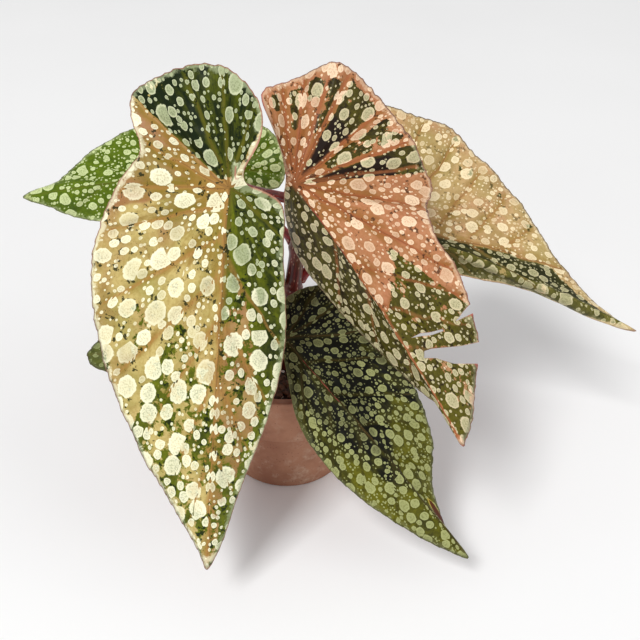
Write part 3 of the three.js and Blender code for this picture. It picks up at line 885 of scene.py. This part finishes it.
class Blade:
    """The surface of one blade in its own millimetres, as arrays over [spoke, ring out from the base]."""

    def __init__(self, leaf, spokes, rings):
        self.leaf = leaf
        points = leaf["margin"]
        lengths = [math.dist((0, 0, 0), point) for point in points]
        self.length = max(lengths)
        tip = lengths.index(self.length)
        self.margin, self.number, self.walked = even_margin(points, spokes, tip)
        self.out = np.linspace(0, 1, rings + 1)
        self.reach = np.linalg.norm(self.margin, axis=1)
        heading = self.margin / self.reach[:, None]
        turn = np.arccos(np.clip((heading * np.roll(heading, -1, axis=0)).sum(1), -1, 1))
        angle = np.concatenate([[0], np.cumsum(turn)[:-1]])
        self.angle = angle - np.interp(tip, self.number, angle)
        self.flat = self.flatten(self.angle)
        self.seam_flat = self.flatten(self.angle + turn.sum())
        self.vein = self.vein_distance()
        self.edge = self.edge_distance()

    def flatten(self, angle):
        """The blade spread flat about its base, as if cut at the notch."""
        heading = np.stack([np.cos(angle), np.sin(angle)], 1)
        return heading[:, None] * (self.reach[:, None] * self.out)[..., None]

    def flat_place(self, number, share):
        angle = np.interp(number, self.number, self.angle)
        reach = np.interp(number, self.number, self.reach)
        return np.array([math.cos(angle), math.sin(angle)]) * reach * share

    def clouds(self, scale, layer):
        """Smooth noise over the flattened blade, a different one for each layer."""
        rows = [[noise.noise(Vector((*place * scale, layer))) for place in row] for row in self.flat]
        return np.array(rows)

    def vein_distance(self):
        """Distance from the nearest vein, counted longer for thinner veins and towards their ends."""
        leaf = self.leaf
        midrib = leaf["midrib"]
        foot = self.flat_place(midrib, 0)
        runs = [(foot, self.flat_place(midrib, 0.98), 1.25)]
        for number in leaf["palmate"]:
            runs.append((foot, self.flat_place(number, 0.95), 1.0))
        for share, number in leaf["pinnate"]:
            runs.append((self.flat_place(midrib, share), self.flat_place(number, 0.94), 0.8))
        nearest = np.full(self.flat.shape[:2], FAR)
        wrinkle = self.clouds(0.09, 3.1)
        bent = self.flat + 1.1 * np.stack([wrinkle, -wrinkle], -1)
        for start, end, strength in runs:
            distance, share = to_segment(bent, start, end)
            nearest = np.minimum(nearest, distance / (strength * (1.15 - 0.6 * share)))
        return nearest

    def edge_distance(self):
        """Distance from the margin, measured on the flattened blade."""
        rim = np.vstack([self.flat[:, -1], self.seam_flat[:1, -1]])
        nearest = np.full(self.flat.shape[:2], FAR)
        for start, end in zip(rim, rim[1:]):
            distance, _ = to_segment(self.flat, start, end)
            nearest = np.minimum(nearest, distance)
        return nearest

    def field(self, base, washes):
        """A painted field: a base level and washes over sectors of the blade."""
        total = np.full(self.flat.shape[:2], float(base))
        for start, end, inner, outer, amount in washes:
            span = smooth_box(self.number, start, end, min(0.22, (end - start) / 3))
            depth = smooth_box(self.out, inner, outer, 0.07)
            total += amount * span[:, None] * depth
        return total

    def surface(self):
        """Places on the middle of the blade, and the way its upper face points at each."""
        margin = self.ruffled_margin()
        share = (self.reach / self.length)[:, None] ** 2
        softened = average_neighbours(margin, 4)
        inside = np.clip((1 - self.out) * 5, 0, 1)[:, None]
        places = (margin[:, None] * (1 - inside) + softened[:, None] * inside) * self.out[:, None]
        places[..., 2] += self.leaf["arch"] * share * 4 * self.out * (1 - self.out)
        ways = self.normals(places)
        places += ways * self.relief()[..., None]
        return places, self.normals(places)

    def normals(self, places, reach=8):
        """The way the upper face points, averaged by area over a few neighbouring spokes."""
        sideways = np.roll(places, -1, axis=0) - np.roll(places, 1, axis=0)
        outwards = np.gradient(places, axis=1)
        ways = np.cross(outwards, sideways)
        ways = average_neighbours(ways, reach)
        ways /= np.maximum(np.linalg.norm(ways, axis=-1), 1e-9)[..., None]
        near_base = np.clip(1 - self.out * 6, 0, 1)[:, None]
        ways = ways * (1 - near_base) + np.array([0, 0, 1]) * near_base
        return ways / np.linalg.norm(ways, axis=-1)[..., None]

    def ruffled_margin(self):
        """The margin with small teeth and an uneven ripple up and down."""
        teeth = np.array([noise.noise(Vector((walk * 0.3, 0.7, 0))) for walk in self.walked])
        saw = (self.walked / 4.3) % 1
        outward = self.margin / self.reach[:, None]
        size = np.clip(self.reach / 40, 0.1, 1)
        margin = self.margin + outward * ((0.7 * teeth + 0.45 * saw - 0.3) * size)[:, None]
        ripple = np.array([noise.noise(Vector((walk * 0.075, 5.2, 0))) for walk in self.walked])
        margin[:, 2] += 1.6 * ripple * size
        return margin

    def relief(self):
        """Puckering: the blade swells between its veins and is grooved along them."""
        swell = 1.0 - np.exp(-(self.vein / 3.6) ** 2)
        room = np.clip(self.edge / 6, 0, 1) * np.clip(self.out * 5, 0, 1)
        puckers = 0.7 * self.clouds(0.16, 1.7) + 0.25 * self.clouds(0.45, 8.3)
        return (1.3 * (swell - 0.55) + puckers) * room


def smooth_box(values, low, high, soft):
    """1 between low and high, falling smoothly to 0 over soft on either side."""
    rise = np.clip((values - low) / soft + 0.5, 0, 1)
    fall = np.clip((high - values) / soft + 0.5, 0, 1)
    both = np.minimum(rise, fall)
    return both * both * (3 - 2 * both)


def fold_room(ways):
    """1 where a blade lies open, falling to 0 inside a sharp fold."""
    steady = np.linalg.norm(average_neighbours(ways, FOLD_REACH), axis=-1)
    return np.clip((steady - 0.88) / 0.1, 0, 1)


def blade_mesh(name, blade, axes, thickness, rib):
    """A closed blade: the ball's upper half is the upper face and its lower half the under face."""
    spokes = len(blade.number)
    rings = len(blade.out) - 1
    piece, spoke, ring = ball_grid(name, spokes, rings * 2)
    places, ways = blade.surface()
    upper = ring <= rings
    out = np.where(upper, ring, 2 * rings - ring)
    thinning = np.sqrt(1 - 0.75 * blade.out[out] ** 6)
    half = thickness / 2 * thinning * (out < rings)
    room = fold_room(ways)
    ribs = rib * room * np.exp(-(blade.vein / RIB_WIDTH) ** 2) * np.clip(blade.edge / 10, 0, 1)
    # The under face keeps close to the upper one inside a sharp fold, so that it can't come through.
    below = half * (room[spoke, out] * 1.3 - 0.3) + ribs[spoke, out] * (out > 0)
    offset = np.where(upper, half, -below)
    own = places[spoke, out] + ways[spoke, out] * offset[:, None]
    own = own @ np.array(axes.to_3x3()).T + np.array(axes.translation)
    set_places(piece, own)
    set_flat(piece, blade.flat[spoke, out] * MM, spoke, blade.seam_flat[spoke, out] * MM)
    set_field(piece, "under", np.where(upper, 0.0, 1.0))
    for field in ("vein", "edge"):
        set_field(piece, field, getattr(blade, field)[spoke, out])
    return piece, spoke, out


def tear_cutter(outline, axes):
    """A prism over a tear's outline, standing through the blade."""
    mesh = bpy.data.meshes.new("tear")
    mesh.from_pydata([(x, y, -TEAR_DEPTH / 2) for x, y in outline], [], [tuple(range(len(outline)))])
    cutter = bpy.data.objects.new("tear", mesh)
    bpy.context.scene.collection.objects.link(cutter)
    pick(cutter)
    bpy.ops.object.mode_set(mode="EDIT")
    bpy.ops.mesh.select_all(action="SELECT")
    bpy.ops.mesh.extrude_region_move(TRANSFORM_OT_translate={"value": (0, 0, TEAR_DEPTH)})
    bpy.ops.mesh.select_all(action="SELECT")
    bpy.ops.mesh.normals_make_consistent(inside=False)
    bpy.ops.object.mode_set(mode="OBJECT")
    mesh.transform(axes)
    return cutter


def cut(piece, cutter):
    pick(piece)
    modifier = piece.modifiers.new("cut", "BOOLEAN")
    modifier.operation = "DIFFERENCE"
    modifier.solver = "EXACT"
    modifier.object = cutter
    bpy.ops.object.modifier_apply(modifier=modifier.name)
    bpy.data.objects.remove(cutter)


def make_leaf(name, leaf, material):
    axes = leaf_axes(leaf["base"], leaf["tip"], leaf["facing"])
    # The small low leaf needs only half the spokes and rings.
    share = 2 if name == "low_left" else 1
    blade = Blade(leaf, BLADE_SPOKES // share, BLADE_RINGS // share)
    piece, spoke, out = blade_mesh(f"blade_{name}", blade, axes, BLADE_THICKNESS, BLADE_RIB)
    for field in ("green", "deep", "blush"):
        values = blade.field(leaf[field], leaf[f"{field}_washes"])
        set_field(piece, field, values[spoke, out])
    for field in ("bright", "scorch"):
        set_field(piece, field, blade.field(0, leaf.get(field, []))[spoke, out])
    for outline in leaf.get("tears", []):
        cut(piece, tear_cutter(outline, axes))
    smooth(piece)
    dress(piece, f"leaf_{name}", material)


# ---------------------------------------------------------------- cane, stalks, stipules, young leaf


def route_through(points, steps):
    """Evenly spaced places on a smooth open curve through points."""
    points = np.array(points, float)
    first = 2 * points[0] - points[1]
    last = 2 * points[-1] - points[-2]
    padded = np.vstack([first, points, last])
    places = []
    for i in range(1, len(padded) - 2):
        a, b, c, d = padded[i - 1 : i + 3]
        for t in np.linspace(0, 1, 40, endpoint=False):
            places.append(0.5 * (2 * b + (c - a) * t + (2 * a - 5 * b + 4 * c - d) * t**2
                                 + (3 * b - a - 3 * c + d) * t**3))
    places.append(points[-1])
    places = np.array(places)
    walked = np.concatenate([[0], np.cumsum(np.linalg.norm(np.diff(places, axis=0), axis=1))])
    wanted = np.linspace(0, walked[-1], steps + 1)
    return np.stack([np.interp(wanted, walked, places[:, axis]) for axis in range(3)], 1), walked[-1]


def stem_mesh(name, points, radius_at, sides=20, steps=60):
    """A closed stem along a route, with radius_at(share, place) in millimetres and rounded ends."""
    piece, spoke, ring = ball_grid(name, sides, steps)
    places, length = route_through(points, steps)
    radii = np.array([radius_at(i / steps, place) for i, place in enumerate(places)])
    radii[0] = radii[-1] = 0
    radii[1] *= 0.8
    radii[-2] *= 0.8
    tangents = np.gradient(places, axis=0)
    tangents /= np.linalg.norm(tangents, axis=1)[:, None]
    side = np.cross(tangents[0], (0.0, 1.0, 0.2))
    sides_at = []
    for tangent in tangents:
        side = side - tangent * (side @ tangent)
        side /= np.linalg.norm(side)
        sides_at.append(side)
    sides_at = np.array(sides_at)
    others = np.cross(tangents, sides_at)
    angle = spoke / sides * TAU
    # The ball's top is the far end, so the rings count down the route and the faces stay outside.
    step = steps - ring
    own = places[step] + radii[step][:, None] * (
        np.cos(angle)[:, None] * sides_at[step] + np.sin(angle)[:, None] * others[step])
    set_places(piece, own * MM)
    girth = TAU * np.mean(radii)
    flat = np.stack([spoke / sides * girth, step / steps * length], 1) * MM
    seam = flat + np.array([girth * MM, 0])
    set_flat(piece, flat, spoke, seam)
    return piece


def cane_radius(height):
    foot, top = CANE_ROUTE[0][2], CANE_ROUTE[-1][2]
    plain = CANE_RADII[0] + (CANE_RADII[1] - CANE_RADII[0]) * (height - foot) / (top - foot)
    swells = [math.exp(-(((height - joint) / CANE_JOINT_LENGTH) ** 2)) for joint in CANE_JOINTS]
    scars = [math.exp(-(((height - joint - 1.2) / 0.5) ** 2)) for joint in CANE_JOINTS]
    return plain + CANE_JOINT_SWELL * max(swells) - 0.3 * max(scars)


def cane_centre(height):
    places, _ = route_through(CANE_ROUTE, 200)
    return np.array([np.interp(height, places[:, 2], places[:, axis]) for axis in range(3)])


def make_cane(material):
    piece = stem_mesh("cane_stem", CANE_ROUTE, lambda share, place: cane_radius(place[2]), 28, 180)
    smooth(piece)
    dress(piece, "cane", material)


def make_stalk(name, material):
    joint, via, end, radii = STALKS[name]
    leaf = LEAVES[name]
    axes = leaf_axes(leaf["base"], leaf["tip"], leaf["facing"])
    finish = np.array(axes @ (Vector(end) * 0.35)) / MM
    approach = np.array(axes @ (Vector(end) * 1.3)) / MM
    centre = cane_centre(joint)
    toward = np.array(via[0]) - centre
    start = centre + toward / np.linalg.norm(toward) * (cane_radius(joint) - 1.5)

    def radius_at(share, place):
        plain = radii[0] + (radii[1] - radii[0]) * share
        foot = 0.9 * math.exp(-((share / 0.07) ** 2))
        head = 0.35 * math.exp(-(((1 - share) / 0.08) ** 2))
        return plain + foot + head

    piece = stem_mesh(f"petiole_{name}", [start, *via, approach, finish], radius_at)
    smooth(piece)
    dress(piece, f"stalk_{name}", material)


def make_stipule(number, joint, bearing, material):
    angle = math.radians(bearing)
    outward = np.array([math.cos(angle), math.sin(angle), 0])
    base = cane_centre(joint + CANE_JOINT_LENGTH) + outward * (cane_radius(joint) + STIPULE_STANDOFF)
    tip = base + outward * STIPULE_LENGTH * 0.35 + np.array([0, 0, STIPULE_LENGTH])
    leaf = {"margin": STIPULE_MARGIN, "arch": 0.5, "midrib": 4, "palmate": [], "pinnate": []}
    blade = Blade(leaf, 64, 10)
    axes = leaf_axes(base, tip, -outward)
    piece, _, _ = blade_mesh(f"scale_{number}", blade, axes, STIPULE_THICKNESS, rib=0.2)
    smooth(piece)
    dress(piece, f"stipule_{number}", material)


def make_young_leaf(material):
    """A leaf still rolled up, as a pointed spindle on the top of the cane."""
    low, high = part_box("young_leaf")
    foot = Vector(CANE_ROUTE[-1]) * MM
    top = Vector(((low.x + high.x) / 2, (low.y + high.y) / 2, high.z))
    points = [np.array(foot + (top - foot) * share) / MM for share in (0.0, 0.35, 0.7, 1.0)]

    def radius_at(share, place):
        return YOUNG_LEAF_RADIUS * math.sin(math.pi * (0.18 + 0.8 * share)) ** 0.8

    piece = stem_mesh("rolled_leaf", points, radius_at, 36, 60)
    smooth(piece)
    dress(piece, "young_leaf", material)


# ---------------------------------------------------------------- pot and mix


def spin_profile(name, profile, steps):
    """A solid turned from (radius, height) points in millimetres, by the spin tool."""
    mesh = bpy.data.meshes.new(name)
    corners = [(radius * MM, 0, height * MM) for radius, height in profile]
    mesh.from_pydata(corners, [(i, i + 1) for i in range(len(corners) - 1)], [])
    piece = bpy.data.objects.new(name, mesh)
    bpy.context.scene.collection.objects.link(piece)
    pick(piece)
    bpy.ops.object.mode_set(mode="EDIT")
    bpy.ops.mesh.select_all(action="SELECT")
    bpy.ops.mesh.spin(steps=steps, angle=TAU, center=(0, 0, 0), axis=(0, 0, 1))
    bpy.ops.mesh.select_all(action="SELECT")
    bpy.ops.mesh.remove_doubles(threshold=0.00002)
    bpy.ops.mesh.normals_make_consistent(inside=False)
    bpy.ops.object.mode_set(mode="OBJECT")
    return piece


def rounded(profile, radius, steps=4):
    """The same profile with each inner corner rounded."""
    points = [np.array(point, float) for point in profile]
    made = [points[0]]
    for before, corner, after in zip(points, points[1:], points[2:]):
        back, ahead = before - corner, after - corner
        size = min(radius, np.linalg.norm(back) * 0.45, np.linalg.norm(ahead) * 0.45)
        start = corner + back / np.linalg.norm(back) * size
        end = corner + ahead / np.linalg.norm(ahead) * size
        for t in np.linspace(0, 1, steps + 1):
            made.append((1 - t) ** 2 * start + 2 * t * (1 - t) * corner + t**2 * end)
    made.append(points[-1])
    return made


def wheel_marks(profile):
    """The same profile with faint rings from the wheel on its long faces."""
    marked = []
    for start, end in zip(profile, profile[1:]):
        long_face = abs(end[1] - start[1]) > 10
        count = 24 if long_face else 1
        marked.append(tuple(start))
        for i in range(1, count):
            radius, height = start + (end - start) * i / count
            ring = 0.07 * math.sin(height * 2.1) + 0.05 * math.sin(height * 4.7)
            marked.append((radius + ring - 0.05, height))
    marked.append(tuple(profile[-1]))
    return marked


def drain_drill(number):
    """The bit that cuts one drain hole through the bottom of the pot."""
    angle = math.pi / 2 + number * TAU / DRAIN_HOLES
    place = (DRAIN_REACH * MM * math.cos(angle), DRAIN_REACH * MM * math.sin(angle), 0)
    start_fresh()
    bpy.ops.mesh.primitive_cylinder_add(vertices=32, radius=DRAIN_RADIUS * MM, depth=30 * MM, location=place)
    drill = bpy.context.object
    bpy.ops.object.transform_apply(location=True, rotation=True, scale=True)
    return drill


def make_pot(material):
    """A flared pot with a deep rim band that steps out from the wall."""
    _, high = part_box("pot")
    height = high.z / MM
    rim = high.x / MM
    band = height - RIM_BAND_HEIGHT
    flare = (rim - POT_FOOT) / height
    under_band, on_band = (POT_FOOT + flare * band - step for step in RIM_BAND_STEP)
    inside_foot = POT_FOOT - POT_WALL + flare * POT_FLOOR
    profile = rounded([
        (0, 0), (POT_FOOT, 0), (under_band, band), (on_band, band), (rim, height), (rim - POT_WALL, height),
        (inside_foot, POT_FLOOR), (0, POT_FLOOR),
    ], POT_EDGE_ROUND)
    piece = spin_profile("clay_pot", wheel_marks(profile), 112)
    for number in range(DRAIN_HOLES):
        cut(piece, drain_drill(number))
    pick(piece)
    bpy.ops.object.shade_smooth_by_angle(angle=math.radians(38))
    dress(piece, "pot", material)


def make_mix(material):
    """The potting mix: a low uneven mound that fills the pot."""
    low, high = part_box("potting_mix")
    top = high.z / MM
    edge = high.x / MM
    profile = [(0, low.z / MM), (MIX_FOOT, low.z / MM), (edge, top - MIX_MOUND)]
    for i in range(1, MOUND_STEPS):
        share = i / MOUND_STEPS
        profile.append((edge * (1 - share), top - MIX_MOUND + MIX_MOUND * math.sin(share * math.pi / 2)))
    profile.append((0, top))
    piece = spin_profile("mix_mound", profile, 96)
    for vertex in piece.data.vertices:
        reach = math.hypot(vertex.co.x, vertex.co.y) / MM
        if vertex.co.z > (top - MIX_MOUND - 0.2) * MM and reach < edge - 0.2:
            lump = noise.noise(vertex.co * 160) * 0.9 + noise.noise(vertex.co * 420) * 0.5
            vertex.co.z += lump * MM * min(1, (edge - reach) / 3)
    smooth(piece)
    dress(piece, "potting_mix", material)
    return top, edge


def make_bits(name, count, sizes, stretch, seed, top, edge, material):
    """Loose bits that lie on the mix: one small lumpy stone, copied at many sizes and joined."""
    start_fresh()
    bpy.ops.mesh.primitive_ico_sphere_add(subdivisions=2, radius=1)
    stone = bpy.context.object
    for vertex in stone.data.vertices:
        vertex.co *= 1 + 0.35 * noise.noise(vertex.co * 1.7 + Vector((seed, 0, 0)))
    copies = []
    draw = np.random.default_rng(seed)
    for _ in range(count):
        angle = draw.uniform(0, TAU)
        reach = math.sqrt(draw.uniform(0.03, 0.94)) * edge
        size = draw.uniform(*sizes)
        copy = stone.copy()
        copy.data = stone.data.copy()
        bpy.context.scene.collection.objects.link(copy)
        height = top - 1.6 * (reach / edge) ** 2 + size * 0.15
        heading = Matrix.Rotation(draw.uniform(0, TAU), 4, "Z")
        lean = Matrix.Rotation(draw.uniform(-0.5, 0.5), 4, "X")
        shape = Matrix.Diagonal((size * stretch, size, size * 0.55, 1))
        place = Matrix.Translation((reach * math.cos(angle), reach * math.sin(angle), height))
        copy.data.transform(Matrix.Scale(MM, 4) @ place @ heading @ lean @ shape)
        copies.append(copy)
    bpy.data.objects.remove(stone)
    start_fresh()
    for copy in copies:
        copy.select_set(True)
    bpy.context.view_layer.objects.active = copies[0]
    bpy.ops.object.join()
    piece = bpy.context.object
    piece.name = name
    smooth(piece)
    dress(piece, None, material)


# ---------------------------------------------------------------- studio


def make_camera():
    data = bpy.data.cameras.new("camera")
    data.lens = CAMERA_LENS
    data.sensor_width = CAMERA_SENSOR
    camera = bpy.data.objects.new("camera", data)
    back = Vector((0, -math.cos(CAMERA_ELEVATION), math.sin(CAMERA_ELEVATION)))
    camera.location = CAMERA_TARGET + back * CAMERA_DISTANCE
    camera.rotation_euler = back.to_track_quat("Z", "Y").to_euler()
    bpy.context.scene.collection.objects.link(camera)
    bpy.context.scene.camera = camera


def make_light(name, place, size, power):
    data = bpy.data.lights.new(name, "AREA")
    data.size = size
    data.energy = power
    light = bpy.data.objects.new(name, data)
    light.location = place
    light.rotation_euler = (Vector(place) - LIGHT_TARGET).to_track_quat("Z", "Y").to_euler()
    bpy.context.scene.collection.objects.link(light)


def make_studio():
    start_fresh()
    bpy.ops.mesh.primitive_plane_add(size=FLOOR_SIZE, location=(0, 0, 0))
    floor = bpy.context.object
    floor.name = "floor"
    material, sketch, shader = new_material("pale_floor")
    shade = sketch.noise(sketch.object_place(), 6, detail=2)
    sketch.put(sketch.mix(shade, *FLOOR_TONES), shader.inputs["Base Color"])
    shader.inputs["Roughness"].default_value = 0.9
    floor.data.materials.append(material)
    world = bpy.data.worlds.new("studio")
    world.use_nodes = True
    background = world.node_tree.nodes["Background"]
    background.inputs["Color"].default_value = (1.0, 1.0, 1.0, 1)
    background.inputs["Strength"].default_value = SKY_STRENGTH
    bpy.context.scene.world = world
    for light in LIGHTS:
        make_light(*light)
    bpy.context.scene.view_settings.view_transform = "Standard"


# ---------------------------------------------------------------- building

make_camera()
make_studio()

skin = skin_effect(spots_effect())
streaks = stem_effect()
mottle = crumb_effect()
# Colours in the order of SKIN_COLOURS.
UNDERSIDE = (138, 44, 38)
blade_skins = {
    # The blush colour here is partly the leaf's own pink and partly painted shade: it is set darker for the
    # pink parts that tilt away from the light.
    "front_left": blade_material(
        "pale_begonia_skin", skin,
        [(198, 178, 112), (158, 112, 74), (146, 114, 44), (104, 112, 10), (14, 28, 0), (250, 247, 212),
         (170, 180, 138), (168, 122, 64), (100, 98, 20), (184, 116, 100), UNDERSIDE],
        shift=(0.31, 0.22, 0), spot_size=1.05, spot_scale=1.0, spot_presence=1.0, freckles=1.0,
        frosting=0.55, greening=0.4),
    "front_right": blade_material(
        "pink_begonia_skin", skin,
        [(194, 152, 106), (184, 122, 86), (148, 96, 46), (92, 86, 14), (28, 14, 4), (246, 218, 184),
         (196, 190, 148), (158, 88, 52), (128, 104, 50), (192, 104, 96), UNDERSIDE],
        shift=(1.13, 0.79, 0), spot_size=1.0, spot_scale=1.2, spot_presence=1.0, freckles=0.8, frosting=0.4,
        greening=0.12),
    "right": blade_material(
        "cream_begonia_skin", skin,
        [(196, 172, 116), (194, 150, 110), (162, 130, 66), (116, 110, 44), (36, 38, 6), (248, 230, 188),
         (178, 174, 130), (164, 118, 68), (124, 104, 50), (180, 130, 104), UNDERSIDE],
        shift=(2.27, 1.59, 0), spot_size=1.0, spot_scale=1.25, spot_presence=1.0, freckles=0.6, frosting=0.3,
        greening=0.35),
    # Painted shade: this leaf's colours are all set darker, with its deep green near black and its underside
    # darker, to stand for the shade it hangs in.
    "lower_right": blade_material(
        "shaded_begonia_skin", skin,
        [(150, 150, 84), (150, 130, 90), (110, 104, 40), (100, 98, 14), (7, 7, 0), (172, 176, 116),
         (116, 118, 78), (84, 76, 26), (52, 48, 6), (104, 106, 50), (96, 34, 30)],
        shift=(3.41, 2.39, 0), spot_size=1.0, spot_scale=1.8, spot_presence=1.0, freckles=0.3, frosting=0.35,
        greening=0.3),
    "back_left": blade_material(
        "green_begonia_skin", skin,
        [(206, 214, 160), (190, 190, 130), (130, 140, 50), (96, 118, 8), (50, 74, 4), (214, 226, 166),
         (208, 220, 160), (130, 140, 50), (92, 112, 14), (130, 132, 70), UNDERSIDE],
        shift=(4.57, 3.2, 0), spot_size=1.1, spot_scale=1.4, spot_presence=1.0, freckles=0.2, frosting=0.35,
        greening=0.3),
    "low_left": blade_material(
        "olive_begonia_skin", skin,
        [(150, 150, 90), (150, 130, 90), (120, 112, 50), (100, 106, 44), (58, 64, 18), (160, 168, 112),
         (136, 144, 92), (110, 104, 50), (92, 94, 38), (120, 110, 70), UNDERSIDE],
        shift=(5.71, 4, 0), spot_size=0.8, spot_scale=1.6, spot_presence=0.8, freckles=0.2, frosting=0.2,
        greening=0.3),
}
cane_bark = stem_material("begonia_cane", streaks, (122, 44, 34), (72, 20, 16), (120, 92, 52))
stalk_skin = stem_material("begonia_stalk", streaks, (176, 50, 44), (110, 22, 22), (190, 110, 84))
stipule_skin = crumbly_material("dry_stipule", mottle, (150, 104, 70), (206, 172, 130), 500)
young_skin = stem_material("young_leaf_skin", streaks, (168, 84, 66), (116, 40, 36), (150, 150, 80))
clay = clay_material()
peat = crumbly_material("damp_peat", mottle, (26, 18, 13), (66, 46, 34), 220)
bark = crumbly_material("bark_bits", mottle, (48, 30, 20), (112, 76, 50), 320)
perlite = crumbly_material("perlite_bits", mottle, (206, 202, 192), (240, 238, 230), 500)

make_pot(clay)
mix_top, mix_edge = make_mix(peat)
make_bits("bark_bits", 230, (0.9, 2.4), 1.7, 11, mix_top, mix_edge, bark)
make_bits("perlite_bits", 30, (0.7, 1.5), 1.1, 5, mix_top, mix_edge, perlite)
make_cane(cane_bark)
for leaf_name, leaf_shape in LEAVES.items():
    make_leaf(leaf_name, leaf_shape, blade_skins[leaf_name])
    make_stalk(leaf_name, stalk_skin)
for stipule_number, (joint_height, bearing) in enumerate(STIPULES, 1):
    make_stipule(stipule_number, joint_height, bearing, stipule_skin)
make_young_leaf(young_skin)
